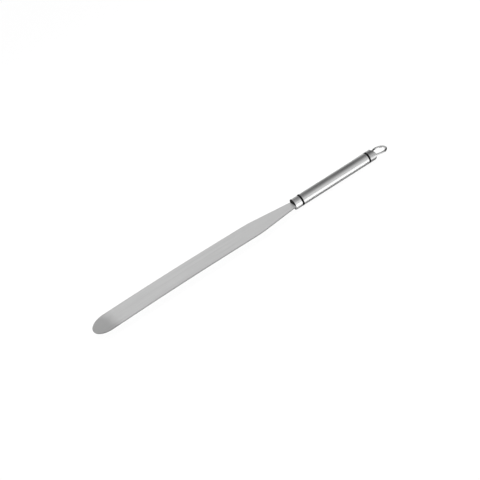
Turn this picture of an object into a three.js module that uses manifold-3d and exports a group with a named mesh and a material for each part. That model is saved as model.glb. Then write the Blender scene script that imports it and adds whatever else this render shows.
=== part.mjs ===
// A flexible palette knife: a long, round-ended steel blade, a round tube handle that a
// tie rod clamps between a ferrule and an end cap, and a wire loop to hang it by.
//
// Millimetres. +X points along the handle to the hanging loop, +Y is to the side and +Z is
// up, square to the blade. The origin is below the middle of the knife, on the surface that
// the handle lies on.

import * as THREE from 'three';
import { mergeVertices } from 'three/addons/utils/BufferGeometryUtils.js';
import Module from 'manifold-3d';

const wasm = await Module();
wasm.setup();

// Driving dimensions

const handleRadius = 8;
const gap = 0.3;                // between pieces that sit against each other

const bladeLength = 299;        // from the ferrule's face to the tip
const bladeThickness = 1;
const neckLength = 61;          // from the ferrule's face to the shoulders
const neckHalfWidth = 9;
const shoulderHalfWidth = 19.6;
const tipHalfWidth = 20.8;      // also the radius of the round tip
const bowHeight = 1.8;          // how far the blade rises above the handle's axis
const bowSkew = 1.15;           // above 1, the highest point moves from the middle to the tip
const bowFacets = 25;
const flexGap = 0.5;            // between the ferrule's face and the part that bends

const ferruleLength = 10.05;
const edgeRound = 0.5;
const sealWidth = 2.7;
const sealRecess = 0.15;
const tubeLength = 107.9;
const tubeWall = 1;
const spigotRadius = handleRadius - tubeWall - gap;
const frontSpigotLength = 25;
const rearSpigotLength = 20;

const tangHalfWidth = 5.5;
const tangLength = 24;
const pinRadius = 1.5;
const pinSetback = 18;          // from the ferrule's face to the pin
const rodRadius = 2.5;
const rodEngagement = 9;        // length of the tie rod inside each spigot

const capLength = 10.45;
const noseLength = 4.6;         // the part of the cap that rounds over, seen from the side
const loopOffset = 9.5;         // from the cap's end to the centre of the loop's bend
const loopRadius = 9.5;         // to the middle of the wire
const wireRadius = 1.5;
const legAngle = THREE.MathUtils.degToRad(25);   // between each leg and the handle's axis
const legDepth = 6;             // length of each leg inside the cap

const roundSides = 40;
const smallSides = 20;

// Places along X, from the tip to the loop

const totalLength = bladeLength + ferruleLength + tubeLength + 2 * sealWidth + capLength
  + loopOffset + loopRadius + wireRadius;
const tipX = -totalLength / 2;
const mouthX = tipX + bladeLength;
const frontSealX = mouthX + ferruleLength;
const tubeX = frontSealX + sealWidth;
const rearSealX = tubeX + tubeLength;
const capX = rearSealX + sealWidth;
const noseX = capX + capLength;
const loopX = noseX + loopOffset;
const frontSpigotX = tubeX + frontSpigotLength;
const rearSpigotX = rearSealX - rearSpigotLength;
const pinX = mouthX + pinSetback;

// The turned pieces have flat sides, and one of them lies on the surface below.
const axisZ = handleRadius * Math.cos(Math.PI / roundSides);

// Materials

const steel = (color, roughness) => new THREE.MeshStandardMaterial({ color, roughness, metalness: 1 });
const bladeSteel = steel(0xbfbfbd, 0.42);
const turnedSteel = steel(0xc4c4c2, 0.25);
const tubeSteel = steel(0xbcbcba, 0.35);
const polishedSteel = steel(0xd6d6d4, 0.1);
const hiddenSteel = steel(0x9c9c9a, 0.5);
const sealRubber = new THREE.MeshStandardMaterial({ color: 0x141414, roughness: 0.6, metalness: 0 });

// Solids and booleans

function solidOf(geometry) {
  geometry.deleteAttribute('normal');
  geometry.deleteAttribute('uv');
  const merged = mergeVertices(geometry, 1e-4);
  return new wasm.Manifold(new wasm.Mesh({
    numProp: 3,
    vertProperties: new Float32Array(merged.attributes.position.array),
    triVerts: new Uint32Array(merged.index.array),
  }));
}

function geometryOf(solid) {
  const mesh = solid.getMesh();
  const geometry = new THREE.BufferGeometry();
  geometry.setAttribute('position', new THREE.BufferAttribute(mesh.vertProperties, 3));
  geometry.setIndex(new THREE.BufferAttribute(mesh.triVerts, 1));
  geometry.computeVertexNormals();
  return geometry;
}

// A body of revolution about the handle's axis, from [x, radius] pairs that run from its
// low-X end over the outside to its high-X end.
function turned(profile, sides = roundSides) {
  const points = profile.map(([x, radius]) => new THREE.Vector2(radius, x));
  const geometry = new THREE.LatheGeometry(points, sides);
  geometry.rotateY(Math.PI / sides);
  geometry.rotateZ(-Math.PI / 2);
  return geometry;
}

function bar(startX, endX, radius, sides = smallSides) {
  return turned([[startX, 0], [startX, radius], [endX, radius], [endX, 0]], sides);
}

function ring(startX, endX, innerRadius, outerRadius) {
  return turned([
    [startX, innerRadius],
    [startX, outerRadius],
    [endX, outerRadius],
    [endX, innerRadius],
    [startX, innerRadius],
  ]);
}

// A plan outline in X and Y, made `height` thick about the handle's axis.
function plate(shape, height, curveSegments = 12) {
  const geometry = new THREE.ExtrudeGeometry(shape, { depth: height, bevelEnabled: false, curveSegments });
  geometry.translate(0, 0, -height / 2);
  return geometry;
}

// A side outline in X and Z, made `width` wide about the handle's axis.
function slab(shape, width, curveSegments = 12) {
  const geometry = plate(shape, width, curveSegments);
  geometry.rotateX(Math.PI / 2);
  return geometry;
}

function rectangle(startX, endX, halfHeight) {
  const shape = new THREE.Shape();
  shape.moveTo(startX, -halfHeight);
  shape.lineTo(endX, -halfHeight);
  shape.lineTo(endX, halfHeight);
  shape.lineTo(startX, halfHeight);
  return shape;
}

// Sub-parts, each built about the handle's axis

// How high the blade's middle surface lies at x.
function bowAt(x) {
  const along = (mouthX - x) / bladeLength;
  return bowHeight * Math.sin(Math.PI * along ** bowSkew);
}

function bladeSide() {
  const rootX = mouthX - flexGap;
  const stations = Array.from({ length: bowFacets + 1 }, (_, i) =>
    THREE.MathUtils.lerp(rootX, tipX - 1, i / bowFacets));
  const skin = (side) => stations.map((x) =>
    new THREE.Vector2(x, bowAt(Math.max(x, tipX)) + side * bladeThickness / 2));
  return new THREE.Shape([...skin(1), ...skin(-1).reverse()]);
}

function bladePlan() {
  const shoulderX = mouthX - neckLength;
  const tipCentreX = tipX + tipHalfWidth;
  const shape = new THREE.Shape();
  shape.moveTo(mouthX, -neckHalfWidth);
  shape.lineTo(mouthX, neckHalfWidth);
  shape.lineTo(shoulderX, shoulderHalfWidth);
  shape.lineTo(tipCentreX, tipHalfWidth);
  shape.absarc(tipCentreX, 0, tipHalfWidth, Math.PI / 2, 3 * Math.PI / 2);
  shape.lineTo(shoulderX, -shoulderHalfWidth);
  return shape;
}

function bladeGeometry() {
  const bowedStrip = solidOf(slab(bladeSide(), 4 * tipHalfWidth));
  const outline = solidOf(plate(bladePlan(), 4 * handleRadius, roundSides));
  return geometryOf(bowedStrip.intersect(outline));
}

function tangGeometry() {
  const shape = rectangle(mouthX + gap / 2, mouthX + tangLength, tangHalfWidth);
  const hole = new THREE.Path();
  hole.absarc(pinX, 0, pinRadius + gap, 0, 2 * Math.PI);
  shape.holes.push(hole);
  return plate(shape, bladeThickness);
}

function pinGeometry(radius, length) {
  const geometry = new THREE.CylinderGeometry(radius, radius, length, smallSides);
  geometry.rotateX(Math.PI / 2);
  geometry.translate(pinX, 0, 0);
  return geometry;
}

function ferruleGeometry() {
  const body = solidOf(turned([
    [mouthX, 0],
    [mouthX, handleRadius - edgeRound],
    [mouthX + edgeRound * 0.3, handleRadius - edgeRound * 0.3],
    [mouthX + edgeRound, handleRadius],
    [frontSealX, handleRadius],
    [frontSealX, spigotRadius],
    [frontSpigotX, spigotRadius],
    [frontSpigotX, 0],
  ]));
  const slotEndX = mouthX + tangLength + gap;
  const tangSlot = solidOf(plate(
    rectangle(mouthX - 1, slotEndX, tangHalfWidth + gap), bladeThickness + 2 * gap));
  const pinHole = solidOf(pinGeometry(pinRadius + gap, 4 * handleRadius));
  const rodHole = solidOf(bar(frontSpigotX - rodEngagement - gap, frontSpigotX + 1, rodRadius + gap));
  return geometryOf(body.subtract(tangSlot).subtract(pinHole).subtract(rodHole));
}

function sealGeometry(startX) {
  return ring(startX + gap, startX + sealWidth - gap, spigotRadius + gap, handleRadius - sealRecess);
}

// The middle line of the wire: a leg, most of a circle and the other leg.
function loopLine() {
  const backAngle = Math.PI / 2 + legAngle;
  const bendStart = new THREE.Vector2(
    loopX + loopRadius * Math.cos(backAngle), loopRadius * Math.sin(backAngle));
  const legLength = (bendStart.x - noseX) / Math.cos(legAngle) + legDepth;
  const legEnd = new THREE.Vector2(
    bendStart.x - legLength * Math.cos(legAngle), bendStart.y - legLength * Math.sin(legAngle));
  return { backAngle, legEnd, bendStart };
}

function loopGeometry() {
  const { backAngle, legEnd, bendStart } = loopLine();
  const route = new THREE.Path();
  route.moveTo(legEnd.x, legEnd.y);
  route.lineTo(bendStart.x, bendStart.y);
  route.absarc(loopX, 0, loopRadius, backAngle, -backAngle, true);
  route.lineTo(legEnd.x, -legEnd.y);
  const points = route.getSpacedPoints(60).map((p) => new THREE.Vector3(p.x, p.y, 0));
  const section = new THREE.Shape();
  section.absarc(0, 0, wireRadius, 0, 2 * Math.PI);
  return new THREE.ExtrudeGeometry(section, {
    extrudePath: new THREE.CatmullRomCurve3(points),
    steps: 60,
    curveSegments: 5,
  });
}

// The hole for one of the loop's legs, running out past the cap's end.
function legHole(side) {
  const { legEnd, bendStart } = loopLine();
  const length = legEnd.distanceTo(bendStart) + 2 * gap;
  const geometry = new THREE.CylinderGeometry(wireRadius + gap, wireRadius + gap, length, smallSides);
  geometry.rotateZ(-Math.PI / 2);
  geometry.translate(length / 2 - gap, 0, 0);
  geometry.rotateZ(side * legAngle);
  geometry.translate(legEnd.x, side * legEnd.y, 0);
  return solidOf(geometry);
}

function capGeometry() {
  const body = solidOf(turned([
    [rearSpigotX, 0],
    [rearSpigotX, spigotRadius],
    [capX, spigotRadius],
    [capX, handleRadius],
    [noseX + 1, handleRadius],
    [noseX + 1, 0],
  ]));
  const noseHeight = handleRadius + 0.2;
  const side = new THREE.Shape();
  side.moveTo(rearSpigotX - 1, -noseHeight);
  side.lineTo(noseX - noseLength, -noseHeight);
  side.absellipse(noseX - noseLength, 0, noseLength, noseHeight, -Math.PI / 2, Math.PI / 2);
  side.lineTo(rearSpigotX - 1, noseHeight);
  const rounded = body.intersect(solidOf(slab(side, 4 * handleRadius, smallSides)));
  const rodHole = solidOf(bar(rearSpigotX - 1, rearSpigotX + rodEngagement + gap, rodRadius + gap));
  return geometryOf(rounded.subtract(rodHole).subtract(legHole(1)).subtract(legHole(-1)));
}

// The knife

const knife = new THREE.Group();
knife.position.z = axisZ;

function add(name, geometry, material) {
  const mesh = new THREE.Mesh(geometry, material);
  mesh.name = name;
  knife.add(mesh);
}

add('blade', bladeGeometry(), bladeSteel);
add('tang', tangGeometry(), bladeSteel);
add('tang_pin', pinGeometry(pinRadius, 2 * spigotRadius - 2 * gap), hiddenSteel);
add('ferrule', ferruleGeometry(), turnedSteel);
add('front_seal', sealGeometry(frontSealX), sealRubber);
add('handle_tube', ring(tubeX, rearSealX, handleRadius - tubeWall, handleRadius), tubeSteel);
add('tie_rod', bar(frontSpigotX - rodEngagement, rearSpigotX + rodEngagement, rodRadius), hiddenSteel);
add('rear_seal', sealGeometry(rearSealX), sealRubber);
add('end_cap', capGeometry(), turnedSteel);
add('hanging_loop', loopGeometry(), polishedSteel);

const model = new THREE.Group();
model.add(knife);

export default model;
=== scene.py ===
"""The looks of a flexible palette knife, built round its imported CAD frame, in metres.

The blade and its tang are one bowed plate with ground edges, which bends between the handle and
the blade's body. The ferrule, tube, seals, end cap and wire loop are smooth bodies with rounded
edges. Every finish is procedural, and its grain follows each piece's place at rest.
"""

import math

import bmesh
import bpy
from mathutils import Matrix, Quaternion, Vector


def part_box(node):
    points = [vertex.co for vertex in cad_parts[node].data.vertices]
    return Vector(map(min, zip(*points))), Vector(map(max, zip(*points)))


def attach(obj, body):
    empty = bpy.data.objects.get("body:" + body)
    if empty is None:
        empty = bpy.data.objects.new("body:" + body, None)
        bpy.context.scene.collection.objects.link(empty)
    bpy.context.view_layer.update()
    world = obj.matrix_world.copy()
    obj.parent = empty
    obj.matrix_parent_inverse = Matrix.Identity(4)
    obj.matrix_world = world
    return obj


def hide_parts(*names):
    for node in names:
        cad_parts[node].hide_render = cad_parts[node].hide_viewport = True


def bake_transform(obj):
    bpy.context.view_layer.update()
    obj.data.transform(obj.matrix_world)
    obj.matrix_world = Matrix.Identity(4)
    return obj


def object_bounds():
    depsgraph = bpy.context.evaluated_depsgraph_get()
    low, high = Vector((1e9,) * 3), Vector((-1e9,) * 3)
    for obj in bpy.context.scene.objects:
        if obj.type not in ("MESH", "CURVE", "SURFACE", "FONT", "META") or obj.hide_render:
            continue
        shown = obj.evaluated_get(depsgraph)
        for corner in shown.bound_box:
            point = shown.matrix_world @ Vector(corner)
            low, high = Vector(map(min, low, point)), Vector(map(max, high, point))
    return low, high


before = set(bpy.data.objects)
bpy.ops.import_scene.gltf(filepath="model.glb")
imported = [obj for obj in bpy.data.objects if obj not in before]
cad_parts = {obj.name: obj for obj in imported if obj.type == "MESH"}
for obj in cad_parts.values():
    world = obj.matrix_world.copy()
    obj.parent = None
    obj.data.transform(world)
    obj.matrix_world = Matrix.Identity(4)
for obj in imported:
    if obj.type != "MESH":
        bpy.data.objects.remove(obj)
cad_low, cad_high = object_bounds()

MM = 0.001

# Places, from the frame

tip_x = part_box("blade")[0].x
mouth_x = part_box("ferrule")[0].x
tube_low, tube_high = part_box("handle_tube")
cap_low, cap_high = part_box("end_cap")
pin_low, pin_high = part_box("tang_pin")
pin_x = (pin_low.x + pin_high.x) / 2
axis_z = (tube_low.z + tube_high.z) / 2
handle_radius = (tube_high.z - tube_low.z) / 2

# Blade

BLADE_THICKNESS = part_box("tang")[1].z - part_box("tang")[0].z
TIP_HALF_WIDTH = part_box("blade")[1].y
TIP_ROUND = 0.993 * TIP_HALF_WIDTH
SHOULDER_HALF_WIDTH = 19.6 * MM
SHOULDER_ROUND = 90 * MM
NECK_LENGTH = 61 * MM
NECK_HALF_WIDTH = 9 * MM
NECK_CORNER = 0.6 * MM
BOW_HEIGHT = 1.8 * MM
BOW_SKEW = 1.15
TANG_HALF_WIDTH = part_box("tang")[1].y
TANG_END_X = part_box("tang")[1].x
SHOULDER_CLEARANCE = 0.15 * MM    # between the blade's shoulders and the ferrule
TANG_CORNER = 0.05 * MM           # how far inside the ferrule the tang widens to the shoulders
EDGE_WIDTH = 1.0 * MM             # of the ground band along the blade's edge
EDGE_DROP = 0.2 * MM              # how much thinner that band makes each side
BAND_ROUND = 0.6 * MM             # where the flat turns into the ground band
RIM_ROUND = 0.12 * MM
EDGE_FADE_LENGTH = 6 * MM         # over which the ground band narrows towards the ferrule
ACROSS = 8                        # strips across the flat of the blade
OUTLINE_STEP = 2.5 * MM           # longest straight cut along the blade's outline

# Handle

FACE_RIM = 0.35 * MM              # bright edge round the ferrule's dark face
SPIGOT_RADIUS = 6.7 * MM
TUBE_WALL = 1 * MM
EDGE_ROUND = 0.45 * MM            # at the spigots' ends
SEAL_ROUND = 0.12 * MM            # where steel and rubber meet
INNER_ROUND = 0.1 * MM            # at edges that don't show
NOSE_LENGTH = 4.6 * MM
NOSE_EDGE = 0.8 * MM
NOSE_ROOM = 0.3 * MM              # how far above the tube the nose's flattening starts
NOSE_SOFTNESS = 0.5 * MM          # how gently the flattening begins
NOSE_STEPS = 40
FIT = 0.3 * MM                    # gap round the inner pieces, as in the frame
LEG_FIT = 0.12 * MM               # gap round the loop's legs
PIN_RADIUS = 1.5 * MM
ROD_RADIUS = 2.5 * MM
LOOP_RADIUS = 9.5 * MM
LEG_ANGLE = math.radians(25)
LEG_DEPTH = 6 * MM
LEG_STEPS = 12
LEG_HOLE_STEPS = 8                # steps of the leg that its hole in the cap covers
BEND_STEPS = 72
WIRE_SIDES = 40
AROUND = 128                      # sides of the turned pieces
BORE_SIDES = 48                   # sides of their bores
LINE_STEP = 3 * MM                # longest straight cut along the handle
ARC_STEP = math.radians(7)        # longest cut round a rounding
SHARP_ANGLE = math.radians(35)    # edges that turn more than this aren't smoothed over
MERGE_DISTANCE = 1e-7

# Finishes, and the shade painted on the blade and on the ferrule's face

BLADE_LAY = (20.0, 2500.0, 2500.0)    # cells of the grain per metre, so that lines run along the knife
HANDLE_LAY = (8.0, 3200.0, 3200.0)    # longer and finer ones
LOOP_LAY = (400.0, 400.0, 400.0)      # no lines, only a faint unevenness
RUBBER_LAY = (2500.0, 2500.0, 2500.0)
SMUDGE_LAY = (45.0, 45.0, 45.0)
TIP_SHADE_LAY = (60.0, 60.0, 60.0)
NOISE_RANGE = (0.3, 0.7)              # where nearly all of a noise's values lie
SMUDGE_RANGE = (0.35, 0.65)
GRAIN_ROUGHNESS = 0.05                # how far the grain varies a steel's roughness
SMUDGE_ROUGHNESS = (-0.03, 0.04)      # how far smudges do
STEEL_RELIEF = 0.02 * MM
RUBBER_RELIEF = 0.03 * MM
RUBBER_BLACK = (0.004, 0.004, 0.0045)
TIP_SHADE_START = 16 * MM                  # from the tip, where the painted shade on its last part begins to fade
TIP_SHADE_END = 36 * MM                    # where it has gone
TIP_SHADE_SLANT = 0.25
TIP_SHADE_UNEVEN = 2 * MM
# how dark the painted shade on the tip gets
TIP_SHADE_LEVEL = 0.68
BAND_PAINTED_SHADE = 0.74                     # painted shade on the ground band along the blade's edge
BAND_LEAN = (0.06, 0.2)               # how far a face there leans to the side
# painted shade on the blade's upright rim
RIM_PAINTED_SHADE = 0.25
RIM_LEAN = (0.3, 0.8)                 # how far up a face between the rim and the band looks
# painted shade, near black, on the ferrule's face above the blade
FACE_SHADE_LEVEL = 0.03
FACE_SHADE_DEPTH = (0.15 * MM, 0.35 * MM)    # behind the ferrule's face, where the painted shade on it fades out
FACE_SHADE_FOOT = (0.8 * MM, 0.5 * MM)       # below the handle's axis, where it does so too

# Studio

FLOOR_REACH = 15
FLOOR_GAP = 0.05 * MM                 # under the knife
FLOOR_WHITE = 0.85
FLOOR_FAINT = 0.04                    # what the camera sees of the floor's white
FLOOR_CLEAR = 0.97                    # what it sees through the floor
CARD_GAP = 17 * MM                    # from the cap's end to the black card
CARD_SIDE = 60 * MM                   # how far the card reaches to the camera's side
CARD_REACH = 0.4
CARD_HEIGHT = 0.03 * MM               # above the floor
CARD_BLACK = 0.01
DARK_TILT = math.radians(8)           # how far the dark part of the room leans back from overhead
ROOM_TONES = (                        # (height along the dark axis, how bright the room is there)
    (0.0, 1.05),
    (0.3, 0.88),
    (0.5, 0.74),
    (0.7, 0.48),
    (0.86, 0.2),
    (1.0, 0.12),
)
OVERHEAD = (0.7, 0.85)                # heights between which the room becomes its overhead part
OVERHEAD_LIFT = 0.6                   # how much of its height that part loses towards the blade
BLADE_WAY = (0.1, 0.35)               # of directions along X, where the blade's side ends
END_WAY = (0.55, 0.8)                 # where the dark part past the loop begins
END_TONE = 0.06
SOFTBOX_PLACE = (0.1, 0.55, 1.2)
SOFTBOX_SIZE = 0.6
SOFTBOX_POWER = 30

# Camera

LENS = 53.7                       # millimetres, as Blender counts it
SENSOR_WIDTH = 36
AZIMUTH = math.radians(-15.35)
ELEVATION = math.radians(29.76)
ROLL = math.radians(24.63)
CAMERA_OFFSET = Vector((-0.3058, -0.7629, 0.4503))    # from the middle of the front seal


def make_camera():
    """Looks down on the knife from the blade's side, and is rolled so that the handle points up."""
    low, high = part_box("front_seal")
    data = bpy.data.cameras.new("camera")
    data.lens = LENS
    data.sensor_width = SENSOR_WIDTH
    data.clip_start = 0.01
    data.clip_end = 100
    camera = bpy.data.objects.new("camera", data)
    back = Vector((
        math.sin(AZIMUTH) * math.cos(ELEVATION),
        -math.cos(AZIMUTH) * math.cos(ELEVATION),
        math.sin(ELEVATION),
    ))
    level = (-back).to_track_quat("-Z", "Y")
    camera.rotation_mode = "QUATERNION"
    camera.rotation_quaternion = level @ Quaternion((0, 0, 1), -ROLL)
    camera.location = (low + high) / 2 + CAMERA_OFFSET
    bpy.context.scene.collection.objects.link(camera)
    bpy.context.scene.camera = camera


# Nodes


def node(tree, kind, inputs=None, **settings):
    """A new node with its settings and its inputs, each a number, a colour or another node's socket."""
    made = tree.nodes.new(kind)
    for key, value in settings.items():
        setattr(made, key, value)
    for key, value in (inputs or {}).items():
        if isinstance(value, bpy.types.NodeSocket):
            tree.links.new(value, made.inputs[key])
        else:
            made.inputs[key].default_value = value
    return made


def math_node(tree, operation, first, second=0.0):
    return node(tree, "ShaderNodeMath", {0: first, 1: second}, operation=operation).outputs[0]


def spread(tree, value, low, high, start=0.0, end=1.0):
    """value, which runs from start to end, stretched to run from low to high and cut off there."""
    made = node(tree, "ShaderNodeMapRange", {
        "Value": value, "From Min": start, "From Max": end, "To Min": low, "To Max": high,
    })
    return made.outputs["Result"]


def noise(tree, place, scale, detail=2.0, roughness=0.5):
    """Noise with its own number of cells per metre along each axis."""
    mapping = node(tree, "ShaderNodeMapping", {"Vector": place, "Scale": scale})
    made = node(tree, "ShaderNodeTexNoise", {
        "Vector": mapping.outputs["Vector"], "Scale": 1.0, "Detail": detail, "Roughness": roughness,
    })
    return made.outputs["Fac"]


def grey(level):
    return (level, level, level, 1)


def empty_material(name):
    """A new material and its node tree, which has no nodes."""
    material = bpy.data.materials.new(name)
    material.use_nodes = True
    tree = material.node_tree
    tree.nodes.clear()
    return material, tree


def new_material(name):
    """A new material, its node tree and its Principled shader."""
    material, tree = empty_material(name)
    shader = node(tree, "ShaderNodeBsdfPrincipled")
    node(tree, "ShaderNodeOutputMaterial", {"Surface": shader.outputs["BSDF"]})
    return material, tree, shader


def rest_place(tree, stored=False):
    """Where a point lies at rest: stored in the mesh of a piece that bends, or else the object's own."""
    if stored:
        return node(tree, "ShaderNodeAttribute", attribute_name="rest").outputs["Vector"]
    return node(tree, "ShaderNodeTexCoord").outputs["Object"]


# Materials


def steel(
    name, tint, roughness, lay, grain, bump,
    stored=False, tone=None, metal=1.0, shade_not_metal=False,
):
    """Brushed or polished stainless steel, with tint as its grey. tone makes a mask that is lower where
    shade is painted on the steel, and the flag after metal makes that painted shade matt and not metal."""
    material, tree, shader = new_material(name)
    place = rest_place(tree, stored)
    fine = math_node(tree, "MULTIPLY", noise(tree, place, lay, 3.0, 0.6), 0.4)
    coarse = math_node(tree, "MULTIPLY", noise(tree, place, [cells / 4 for cells in lay], 2.0), 0.6)
    smudge = noise(tree, place, SMUDGE_LAY, 3.0)
    line = math_node(tree, "ADD", fine, coarse)
    shade = spread(tree, line, 1 - grain, 1 + grain, *NOISE_RANGE)
    shader.inputs["Metallic"].default_value = metal
    if tone:
        mask = tone(tree, place)
        shade = math_node(tree, "MULTIPLY", shade, mask)
    # the painted shade is made matt and not metal, so that it stays black
    if shade_not_metal:
        tree.links.new(mask, shader.inputs["Metallic"])
        shader.inputs["Specular IOR Level"].default_value = 0.0
    color = node(tree, "ShaderNodeVectorMath", {0: grey(tint)[:3], "Scale": shade}, operation="SCALE")
    tree.links.new(color.outputs["Vector"], shader.inputs["Base Color"])
    least, most = SMUDGE_ROUGHNESS
    by_grain = spread(tree, line, -GRAIN_ROUGHNESS, GRAIN_ROUGHNESS, *NOISE_RANGE)
    by_smudge = spread(tree, smudge, roughness + least, roughness + most, *SMUDGE_RANGE)
    tree.links.new(math_node(tree, "ADD", by_grain, by_smudge), shader.inputs["Roughness"])
    relief = node(tree, "ShaderNodeBump", {"Height": line, "Strength": bump, "Distance": STEEL_RELIEF})
    tree.links.new(relief.outputs["Normal"], shader.inputs["Normal"])
    return material


def tip_painted_shade(tree, place):
    """1 on the blade and lower on its last part: painted shade, which darkens the tip as darker
    reflections would.
    """
    parts = node(tree, "ShaderNodeSeparateXYZ", {"Vector": place})
    slant = math_node(tree, "MULTIPLY", parts.outputs["Y"], TIP_SHADE_SLANT)
    uneven = spread(tree, noise(tree, place, TIP_SHADE_LAY), -TIP_SHADE_UNEVEN, TIP_SHADE_UNEVEN, *NOISE_RANGE)
    edge = math_node(tree, "ADD", math_node(tree, "ADD", parts.outputs["X"], slant), uneven)
    made = node(tree, "ShaderNodeMapRange", {
        "Value": edge,
        "From Min": tip_x + TIP_SHADE_START,
        "From Max": tip_x + TIP_SHADE_END,
        "To Min": TIP_SHADE_LEVEL,
        "To Max": 1.0,
    }, interpolation_type="SMOOTHSTEP")
    return made.outputs["Result"]


def blade_painted_shade(tree, place):
    """The tip's painted shade, with more painted shade on the ground band and more again on the rim,
    standing in for darker reflections there. Both are told by the way their faces turn: the band leans
    to the side, and the rim is upright."""
    normal = node(tree, "ShaderNodeNewGeometry").outputs["Normal"]
    facing = node(tree, "ShaderNodeSeparateXYZ", {"Vector": normal})
    sideways = math_node(tree, "ABSOLUTE", facing.outputs["Y"])
    upward = math_node(tree, "ABSOLUTE", facing.outputs["Z"])
    band = spread(tree, sideways, 1.0, BAND_PAINTED_SHADE, *BAND_LEAN)
    rim = spread(tree, upward, RIM_PAINTED_SHADE, 1.0, *RIM_LEAN)
    return math_node(tree, "MULTIPLY", tip_painted_shade(tree, place), math_node(tree, "MULTIPLY", band, rim))


def face_painted_shade(tree, place):
    """1 on the ferrule and nearly 0 on its face above the blade: painted shade, which blackens that face
    as shade would.
    """
    parts = node(tree, "ShaderNodeSeparateXYZ", {"Vector": place})
    start, end = FACE_SHADE_DEPTH
    behind = spread(tree, parts.outputs["X"], 0.0, 1.0, mouth_x + start, mouth_x + end)
    start, end = FACE_SHADE_FOOT
    below = spread(tree, parts.outputs["Z"], 1.0, 0.0, axis_z - start, axis_z - end)
    return spread(tree, math_node(tree, "MAXIMUM", behind, below), FACE_SHADE_LEVEL, 1.0)


def rubber(name):
    """Matt black rubber with a faint moulded grain."""
    material, tree, shader = new_material(name)
    place = rest_place(tree)
    grain = noise(tree, place, RUBBER_LAY, 3.0)
    shade = spread(tree, grain, 0.7, 1.4, *NOISE_RANGE)
    color = node(tree, "ShaderNodeVectorMath", {0: RUBBER_BLACK, "Scale": shade}, operation="SCALE")
    tree.links.new(color.outputs["Vector"], shader.inputs["Base Color"])
    tree.links.new(spread(tree, grain, 0.7, 0.85, *NOISE_RANGE), shader.inputs["Roughness"])
    relief = node(tree, "ShaderNodeBump", {"Height": grain, "Strength": 0.3, "Distance": RUBBER_RELIEF})
    tree.links.new(relief.outputs["Normal"], shader.inputs["Normal"])
    shader.inputs["Specular IOR Level"].default_value = 0.15
    return material


# Meshes


def rounded(corners, step):
    """A line through corners, each (x, y, radius), rounded there and cut into steps in between."""
    points = [Vector(corners[0][:2])]
    for before, corner, after in zip(corners, corners[1:], corners[2:]):
        here = Vector(corner[:2])
        back = (Vector(before[:2]) - here).normalized()
        ahead = (Vector(after[:2]) - here).normalized()
        half = back.angle(ahead) / 2
        radius = corner[2]
        start = here + back * radius / math.tan(half)
        centre = here + (back + ahead).normalized() * radius / math.sin(half)
        arm = start - centre
        sweep = math.pi - 2 * half
        if back.x * ahead.y - back.y * ahead.x > 0:
            sweep = -sweep
        count = max(1, math.ceil(abs(sweep) / ARC_STEP)) if radius > 0 else 0
        for i in range(count + 1):
            angle = sweep * i / count if count else 0
            arm_now = Vector((
                arm.x * math.cos(angle) - arm.y * math.sin(angle),
                arm.x * math.sin(angle) + arm.y * math.cos(angle),
            ))
            points.append(centre + arm_now)
    points.append(Vector(corners[-1][:2]))
    line = [points[0]]
    for point in points[1:]:
        run = point - line[-1]
        cuts = max(1, math.ceil(run.length / step))
        start = line[-1]
        line += [start + run * i / cuts for i in range(1, cuts + 1)]
    return line


def finished(name, bm):
    """An object with the mesh in bm, its shared points merged, its faces out and its roundings smooth."""
    bmesh.ops.remove_doubles(bm, verts=bm.verts, dist=MERGE_DISTANCE)
    bmesh.ops.recalc_face_normals(bm, faces=bm.faces)
    mesh = bpy.data.meshes.new(name)
    bm.to_mesh(mesh)
    bm.free()
    mesh.shade_smooth()
    mesh.set_sharp_from_angle(angle=SHARP_ANGLE)
    made = bpy.data.objects.new(name, mesh)
    bpy.context.scene.collection.objects.link(made)
    return made


def skin(name, loops, cyclic=False):
    """A closed mesh over loops of as many points each. A loop shrunk to a point or line closes an end."""
    bm = bmesh.new()
    rows = [[bm.verts.new(point) for point in loop] for loop in loops]
    pairs = list(zip(rows, rows[1:]))
    if cyclic:
        pairs.append((rows[-1], rows[0]))
    for low, high in pairs:
        for i in range(len(low)):
            j = (i + 1) % len(low)
            bm.faces.new((low[i], low[j], high[j], high[i]))
    return finished(name, bm)


def ring(x, radius, ceiling=math.inf):
    """A circle round the handle's axis, flattened at a height of ceiling above and below it."""
    loop = []
    for i in range(AROUND):
        angle = 2 * math.pi * i / AROUND
        height = abs(radius * math.sin(angle))
        overlap = max(NOSE_SOFTNESS - abs(height - ceiling), 0.0)
        height = max(min(height, ceiling) - overlap ** 2 / (4 * NOSE_SOFTNESS), 0.0)
        loop.append((x, radius * math.cos(angle), axis_z + math.copysign(height, math.sin(angle))))
    return loop


def turned(name, corners, cyclic=False):
    """A body of revolution about the handle's axis, from (x, radius, rounding) corners."""
    if cyclic:
        corners = [*corners, corners[0]]
    line = rounded(corners, LINE_STEP)
    if cyclic:
        line = line[:-1]
    return skin(name, [ring(point.x, point.y) for point in line], cyclic)


def rod(start, end, radius):
    """A plain round cutter from start to end."""
    axis = (end - start).normalized()
    side = axis.orthogonal().normalized()
    other = axis.cross(side)

    def loop(place, size):
        angles = [2 * math.pi * i / BORE_SIDES for i in range(BORE_SIDES)]
        return [place + size * (side * math.cos(a) + other * math.sin(a)) for a in angles]

    return skin("cutter", [loop(start, 0), loop(start, radius), loop(end, radius), loop(end, 0)])


def block(low, high):
    """A plain box cutter between two corners."""
    def loop(x, reach):
        middle = (low + high) / 2
        half = (high - low) / 2 * reach
        signs = ((1, 1), (-1, 1), (-1, -1), (1, -1))
        return [(x, middle.y + a * half.y, middle.z + b * half.z) for a, b in signs]

    return skin("cutter", [loop(low.x, 0), loop(low.x, 1), loop(high.x, 1), loop(high.x, 0)])


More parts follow.
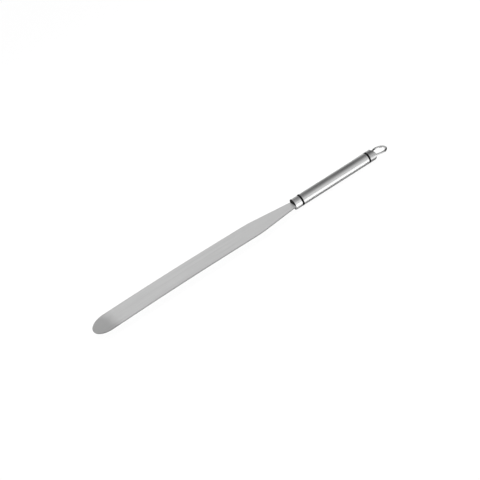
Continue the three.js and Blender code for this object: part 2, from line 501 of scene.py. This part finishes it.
def cut(piece, *cutters):
    """Cuts the cutters out of piece and removes them."""
    for cutter in cutters:
        modifier = piece.modifiers.new("cut", "BOOLEAN")
        modifier.operation = "DIFFERENCE"
        modifier.solver = "EXACT"
        modifier.object = cutter
    graph = bpy.context.evaluated_depsgraph_get()
    mesh = bpy.data.meshes.new_from_object(piece.evaluated_get(graph))
    piece.modifiers.clear()
    piece.data = mesh
    for cutter in cutters:
        bpy.data.objects.remove(cutter)
    mesh.shade_smooth()
    mesh.set_sharp_from_angle(angle=SHARP_ANGLE)


def even_shading(piece):
    """Lets the large faces set the normals, so that each stretch shades evenly up to its edges."""
    modifier = piece.modifiers.new("even shading", "WEIGHTED_NORMAL")
    modifier.keep_sharp = True


def dress(piece, material, slot, body, *nodes):
    """Gives piece its material, puts it in place of its CAD nodes and lets it ride on a body. slot is not
    used.
    """
    piece.data.materials.clear()
    piece.data.materials.append(material)
    even_shading(piece)
    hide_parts(*nodes)
    if body:
        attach(piece, body)


# Blade


def bow_at(x):
    """How high the middle of the blade lies above the handle's axis."""
    along = min(max((mouth_x - x) / (mouth_x - tip_x), 0.0), 1.0)
    return BOW_HEIGHT * math.sin(math.pi * along ** BOW_SKEW)


def edge_fade(x):
    """The ground edge is at its full width on the blade and narrows to the neck's corners."""
    return min(max((mouth_x - x) / EDGE_FADE_LENGTH, 0.2), 1.0)


def blade_outline():
    """Half of the outline, from the tang's end round the shoulder to the middle of the tip."""
    return rounded([
        (TANG_END_X, 0, 0),
        (TANG_END_X, TANG_HALF_WIDTH, 0.9 * TANG_HALF_WIDTH),
        (mouth_x + TANG_CORNER, TANG_HALF_WIDTH, INNER_ROUND),
        (mouth_x - SHOULDER_CLEARANCE, NECK_HALF_WIDTH, NECK_CORNER),
        (mouth_x - NECK_LENGTH, SHOULDER_HALF_WIDTH, SHOULDER_ROUND),
        (tip_x, TIP_HALF_WIDTH, TIP_ROUND),
        (tip_x, 0, 0),
    ], OUTLINE_STEP)


def edge_profile():
    """(inset, height) pairs from the flat top over the ground band and the rim to the underside."""
    half = BLADE_THICKNESS / 2
    return rounded([
        (1.5 * EDGE_WIDTH, half, 0),
        (EDGE_WIDTH, half, BAND_ROUND),
        (0, half - EDGE_DROP, RIM_ROUND),
        (0, EDGE_DROP - half, RIM_ROUND),
        (EDGE_WIDTH, -half, BAND_ROUND),
        (1.5 * EDGE_WIDTH, -half, 0),
    ], 0.5 * EDGE_WIDTH)


def blade_section(point, outward, profile):
    """A closed loop round the blade at a point of its outline: over the top and back underneath."""
    fade = edge_fade(point.x)

    def place(inset, height, side):
        x = point.x - outward.x * inset * fade
        y = max(point.y - outward.y * inset * fade, 0.0)
        return (x, side * y, axis_z + bow_at(x) + height)

    top = place(*profile[0], 1)
    under = place(*profile[-1], 1)
    shares = [1 - 2 * i / ACROSS for i in range(1, ACROSS)]
    loop = [place(*p, 1) for p in reversed(profile)]
    loop += [(top[0], share * top[1], top[2]) for share in shares]
    loop += [place(*p, -1) for p in profile]
    loop += [(under[0], -share * under[1], under[2]) for share in shares]
    return loop


def blade_loops():
    """One section of the blade for each point of its outline."""
    outline = blade_outline()
    profile = edge_profile()
    loops = [blade_section(outline[0], Vector((1, 0)), profile)]
    for before, point, after in zip(outline, outline[1:], outline[2:]):
        travel = (after - before).normalized()
        loops.append(blade_section(point, Vector((travel.y, -travel.x)), profile))
    loops.append(blade_section(outline[-1], Vector((-1, 0)), profile))
    return loops


def pin_cutter(past=0.0):
    """A cutter for the pin's hole, which runs past the pin's ends."""
    start = Vector((pin_x, 0, pin_low.z - past))
    end = Vector((pin_x, 0, pin_high.z + past))
    return rod(start, end, PIN_RADIUS + FIT)


def make_blade():
    """The blade with its tang. Its places at rest are stored in the mesh, for the grain."""
    blade = skin("blade_and_tang", blade_loops())
    cut(blade, pin_cutter())
    rest = blade.data.attributes.new("rest", "FLOAT_VECTOR", "POINT")
    rest.data.foreach_set("vector", [c for v in blade.data.vertices for c in v.co])
    dress(blade, BLADE_STEEL, "blade_steel", None, "blade", "tang")
    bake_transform(blade)


# Handle


def make_ferrule():
    seal_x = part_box("front_seal")[0].x - FIT
    spigot_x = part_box("ferrule")[1].x
    ferrule = turned("ferrule_body", [
        (mouth_x, 0, 0),
        (mouth_x, handle_radius, FACE_RIM),
        (seal_x, handle_radius, SEAL_ROUND),
        (seal_x, SPIGOT_RADIUS, INNER_ROUND),
        (spigot_x, SPIGOT_RADIUS, EDGE_ROUND),
        (spigot_x, 0, 0),
    ])
    slot_half = Vector((0, TANG_HALF_WIDTH + FIT, BLADE_THICKNESS / 2 + FIT))
    slot_start = Vector((mouth_x - MM, 0, axis_z)) - slot_half
    slot_end = Vector((TANG_END_X + FIT, 0, axis_z)) + slot_half
    rod_start = Vector((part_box("tie_rod")[0].x - FIT, 0, axis_z))
    rod_end = Vector((spigot_x + MM, 0, axis_z))
    cut(
        ferrule,
        block(slot_start, slot_end),
        pin_cutter(2 * MM),
        rod(rod_start, rod_end, ROD_RADIUS + FIT),
    )
    dress(ferrule, FERRULE_STEEL, "turned_steel", "handle", "ferrule")


def sleeve(start, end, inner):
    """The outline of a tube's wall, from inner to the handle's radius. It starts halfway along the
    inside, so that all four corners are rounded."""
    return [
        ((start + end) / 2, inner, 0),
        (start, inner, INNER_ROUND),
        (start, handle_radius, SEAL_ROUND),
        (end, handle_radius, SEAL_ROUND),
        (end, inner, INNER_ROUND),
    ]


def make_seal(name, cad_name):
    low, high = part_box(cad_name)
    start = low.x - FIT      # the rubber is squeezed between the steel pieces
    end = high.x + FIT
    seal = turned(name, sleeve(start, end, SPIGOT_RADIUS + INNER_ROUND), cyclic=True)
    dress(seal, SEAL_RUBBER, "seal_rubber", "handle", cad_name)


def make_tube():
    wall = sleeve(tube_low.x, tube_high.x, handle_radius - TUBE_WALL)
    tube = turned("tube_sleeve", wall, cyclic=True)
    dress(tube, TUBE_STEEL, "tube_steel", "handle", "handle_tube")


def loop_route():
    """The wire's radius, and points of its middle line from one leg's end to the other's."""
    low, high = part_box("hanging_loop")
    wire = (high.z - low.z) / 2
    centre = Vector((high.x - wire - LOOP_RADIUS, 0))
    bend = []
    for i in range(BEND_STEPS + 1):
        angle = (math.pi / 2 + LEG_ANGLE) * (1 - 2 * i / BEND_STEPS)
        bend.append(centre + LOOP_RADIUS * Vector((math.cos(angle), math.sin(angle))))
    length = (bend[0].x - cap_high.x) / math.cos(LEG_ANGLE) + LEG_DEPTH
    leg = Vector((math.cos(LEG_ANGLE), math.sin(LEG_ANGLE))) * length
    first = [bend[0] - leg * (1 - i / LEG_STEPS) for i in range(LEG_STEPS)]
    last = [Vector((point.x, -point.y)) for point in reversed(first)]
    route = [Vector((point.x, point.y, axis_z)) for point in first + bend + last]
    return wire, route


def make_loop():
    wire, route = loop_route()
    angles = [2 * math.pi * i / WIRE_SIDES for i in range(WIRE_SIDES)]
    up = Vector((0, 0, 1))
    loops = [[route[0]] * WIRE_SIDES]
    for before, point, after in zip([route[0], *route], route, [*route[1:], route[-1]]):
        travel = (after - before).normalized()
        side = up.cross(travel)
        loops.append([point + wire * (side * math.cos(a) + up * math.sin(a)) for a in angles])
    loops.append([route[-1]] * WIRE_SIDES)
    dress(skin("loop_wire", loops), LOOP_STEEL, "polished_steel", "handle", "hanging_loop")


def nose_rings():
    """Rings over the cap's end, which flattens from above and below like a bull nose."""
    nose_x = cap_high.x - NOSE_LENGTH
    rings = []
    for i in range(NOSE_STEPS + 1):
        angle = math.pi / 2 * i / NOSE_STEPS
        x = nose_x + NOSE_LENGTH * math.sin(angle)
        past = max(x - (cap_high.x - NOSE_EDGE), 0.0)
        radius = handle_radius - NOSE_EDGE + math.sqrt(max(NOSE_EDGE ** 2 - past ** 2, 0.0))
        rings.append(ring(x, radius, (handle_radius + NOSE_ROOM) * math.cos(angle)))
    return rings


def leg_holes():
    """Cutters for the holes that the loop's legs sit in."""
    wire, route = loop_route()
    holes = []
    for leg in (route, route[::-1]):
        start = leg[0]
        end = leg[LEG_HOLE_STEPS]
        below = (end - start).normalized() * FIT
        holes.append(rod(start - below, end, wire + LEG_FIT))
    return holes


def make_cap():
    shoulder_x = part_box("rear_seal")[1].x + FIT
    line = rounded([
        (cap_low.x, 0, 0),
        (cap_low.x, SPIGOT_RADIUS, EDGE_ROUND),
        (shoulder_x, SPIGOT_RADIUS, INNER_ROUND),
        (shoulder_x, handle_radius, SEAL_ROUND),
        (cap_high.x - NOSE_LENGTH, handle_radius, 0),
    ], LINE_STEP)
    loops = [ring(point.x, point.y) for point in line[:-1]]
    cap = skin("cap_body", loops + nose_rings())
    rod_start = Vector((cap_low.x - MM, 0, axis_z))
    rod_end = Vector((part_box("tie_rod")[1].x + FIT, 0, axis_z))
    cut(cap, rod(rod_start, rod_end, ROD_RADIUS + FIT), *leg_holes())
    dress(cap, CAP_STEEL, "turned_steel", "handle", "end_cap")


def dress_inner_pieces():
    """The pin and the tie rod keep their CAD shape."""
    for name in ("tang_pin", "tie_rod"):
        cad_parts[name].material_slots[0].material = HIDDEN_STEEL


# Room, card and light


def make_sheet(name, low, high, height, material):
    """A flat rectangle between two corners."""
    mesh = bpy.data.meshes.new(name)
    corners = [(low.x, low.y, 0), (high.x, low.y, 0), (high.x, high.y, 0), (low.x, high.y, 0)]
    mesh.from_pydata(corners, [], [(0, 1, 2, 3)])
    mesh.materials.append(material)
    sheet = bpy.data.objects.new(name, mesh)
    sheet.location.z = height
    bpy.context.scene.collection.objects.link(sheet)
    return sheet


def make_floor():
    """A plain white floor. The steel reflects it in full. To the camera it is nearly clear, so that the
    white room shows through it and a blade that is bent down below it still shows."""
    material, tree = empty_material("floor_white")
    matt = node(tree, "ShaderNodeBsdfDiffuse", {"Color": grey(FLOOR_WHITE)})
    faint = node(tree, "ShaderNodeBsdfDiffuse", {"Color": grey(FLOOR_FAINT)})
    clear = node(tree, "ShaderNodeBsdfTransparent", {"Color": grey(FLOOR_CLEAR)})
    even = node(tree, "ShaderNodeAddShader", {0: faint.outputs[0], 1: clear.outputs[0]})
    path = node(tree, "ShaderNodeLightPath")
    seen = node(tree, "ShaderNodeMixShader", {
        0: path.outputs["Is Camera Ray"], 1: matt.outputs[0], 2: even.outputs[0],
    })
    node(tree, "ShaderNodeOutputMaterial", {"Surface": seen.outputs[0]})
    corner = Vector((FLOOR_REACH, FLOOR_REACH))
    floor = make_sheet("floor", -corner, corner, cad_low.z - FLOOR_GAP, material)


def make_card():
    """A black card on the floor past the end of the handle. The camera can't see it, and the cap and
    the loop reflect it."""
    material, _, shader = new_material("card_black")
    shader.inputs["Base Color"].default_value = grey(CARD_BLACK)
    shader.inputs["Specular IOR Level"].default_value = 0
    low = Vector((cap_high.x + CARD_GAP, -CARD_SIDE))
    high = low + Vector((CARD_REACH, CARD_REACH))
    card = make_sheet("black_card", low, high, cad_low.z - FLOOR_GAP + CARD_HEIGHT, material)
    card.visible_camera = False
    card.visible_diffuse = False
    card.visible_shadow = False


def room_tone(tree, height):
    """The room's brightness at a height along the dark axis."""
    made = node(tree, "ShaderNodeValToRGB", {"Fac": height})
    ramp = made.color_ramp
    ramp.interpolation = "B_SPLINE"
    ramp.elements[0].position = ROOM_TONES[0][0]
    ramp.elements[1].position = ROOM_TONES[-1][0]
    for position, _ in ROOM_TONES[1:-1]:
        ramp.elements.new(position)
    for element, (_, level) in zip(ramp.elements, ROOM_TONES):
        element.color = grey(level)
    return made.outputs["Color"]


def make_world():
    """A room that is bright round the horizon and darker overhead, though less so towards the blade,
    and nearly black past the end of the handle. The camera itself sees plain white."""
    world = bpy.data.worlds.new("studio")
    bpy.context.scene.world = world
    world.use_nodes = True
    tree = world.node_tree
    tree.nodes.clear()
    way = node(tree, "ShaderNodeTexCoord").outputs["Generated"]
    dark_axis = Vector((0, math.sin(DARK_TILT), math.cos(DARK_TILT)))
    along_axis = node(tree, "ShaderNodeVectorMath", {0: way, 1: dark_axis}, operation="DOT_PRODUCT")
    height = along_axis.outputs["Value"]
    to_the_end = node(tree, "ShaderNodeSeparateXYZ", {"Vector": way}).outputs["X"]
    to_the_blade = spread(tree, to_the_end, 1.0, 0.0, *BLADE_WAY)
    overhead = spread(tree, height, 0.0, OVERHEAD_LIFT, *OVERHEAD)
    kept = math_node(tree, "SUBTRACT", 1.0, math_node(tree, "MULTIPLY", to_the_blade, overhead))
    tone = room_tone(tree, math_node(tree, "MULTIPLY", height, kept))
    strength = spread(tree, to_the_end, 1.0, END_TONE, *END_WAY)
    room = node(tree, "ShaderNodeBackground", {"Color": tone, "Strength": strength})
    plain = node(tree, "ShaderNodeBackground", {"Color": grey(1), "Strength": 1.0})
    path = node(tree, "ShaderNodeLightPath")
    seen = node(tree, "ShaderNodeMixShader", {
        0: path.outputs["Is Camera Ray"], 1: room.outputs[0], 2: plain.outputs[0],
    })
    node(tree, "ShaderNodeOutputWorld", {"Surface": seen.outputs[0]})


def make_softbox():
    """A square light above and behind the knife, aimed at the middle of the handle."""
    data = bpy.data.lights.new("top_softbox", "AREA")
    data.size = SOFTBOX_SIZE
    data.energy = SOFTBOX_POWER
    light = bpy.data.objects.new("top_softbox", data)
    light.location = SOFTBOX_PLACE
    target = Vector(((tube_low.x + tube_high.x) / 2, 0, axis_z))
    light.rotation_mode = "QUATERNION"
    light.rotation_quaternion = (target - light.location).to_track_quat("-Z", "Y")
    light.visible_camera = False
    light.visible_glossy = False
    bpy.context.scene.collection.objects.link(light)


def make_studio():
    make_floor()
    make_card()
    make_world()
    make_softbox()
    bpy.context.scene.view_settings.view_transform = "Standard"


# The camera and the finishes

make_camera()

BLADE_STEEL = steel(
    "blade_satin_steel", 0.575, 0.45, BLADE_LAY, grain=0.13, bump=0.04,
    stored=True, tone=blade_painted_shade, metal=0.8,
)
TUBE_STEEL = steel("tube_brushed_steel", 0.6, 0.19, HANDLE_LAY, grain=0.2, bump=0.1)
FERRULE_STEEL = steel(
    "ferrule_turned_steel", 0.7, 0.18, HANDLE_LAY, grain=0.22, bump=0.08,
    tone=face_painted_shade, shade_not_metal=True,
)
CAP_STEEL = steel("cap_turned_steel", 0.48, 0.18, HANDLE_LAY, grain=0.25, bump=0.08)
LOOP_STEEL = steel("loop_polished_steel", 0.56, 0.05, LOOP_LAY, grain=0.03, bump=0.05)
HIDDEN_STEEL = steel("hidden_drawn_steel", 0.4, 0.45, BLADE_LAY, grain=0.1, bump=0.3)
SEAL_RUBBER = rubber("seal_rubber")

# The knife and its studio

make_blade()
make_ferrule()
make_seal("seal_front", "front_seal")
make_tube()
make_seal("seal_rear", "rear_seal")
make_cap()
make_loop()
dress_inner_pieces()
make_studio()
